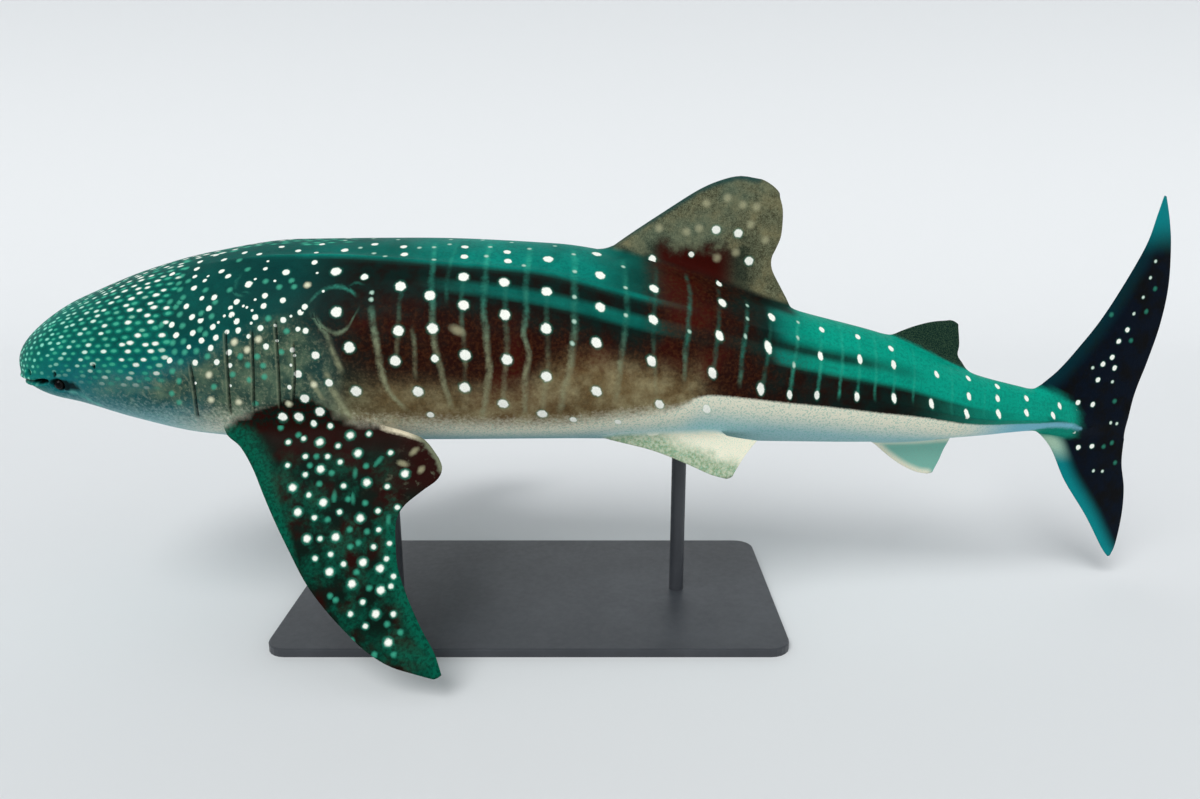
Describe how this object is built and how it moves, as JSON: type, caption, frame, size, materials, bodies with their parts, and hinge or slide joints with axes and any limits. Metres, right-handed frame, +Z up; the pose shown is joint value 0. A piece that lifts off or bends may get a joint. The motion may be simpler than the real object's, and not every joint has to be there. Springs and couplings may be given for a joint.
{
  "type": "whale shark",
  "caption": "Life-size still whale shark in a level swimming pose, held over a flat rounded base by two short upright rods.",
  "frame": {"origin": "on the floor, under the middle of the whole model's box", "axes": "+X from the snout towards the tail, +Z up; the animal's left side faces -Y"},
  "size_m": [6.9214, 2.9582, 2.6298],
  "materials": {
    "skin_dark": "satin, spotted and barred hide",
    "skin_pale": "satin pale hide",
    "eye": "wet dark gloss",
    "stand_paint": "satin dark paint"
  },
  "bodies": {
    "root": {"head": "skin_dark", "jaw_lower": "skin_pale", "eye_left": "eye", "eye_right": "eye", "gill_region": "skin_dark", "trunk_front": "skin_dark", "trunk_rear": "skin_dark", "tail_front": "skin_dark", "tail_stock": "skin_dark", "dorsal_fin_first": "skin_dark", "dorsal_fin_second": "skin_dark", "anal_fin": "skin_pale", "pectoral_fin_left": "skin_dark", "pectoral_fin_right": "skin_dark", "pelvic_fin_left": "skin_pale", "pelvic_fin_right": "skin_pale", "tail_fin_upper": "skin_dark", "tail_fin_lower": "skin_dark", "stand_base": "stand_paint", "stand_rod_front": "stand_paint", "stand_rod_rear": "stand_paint"}
  },
  "joints": []
}
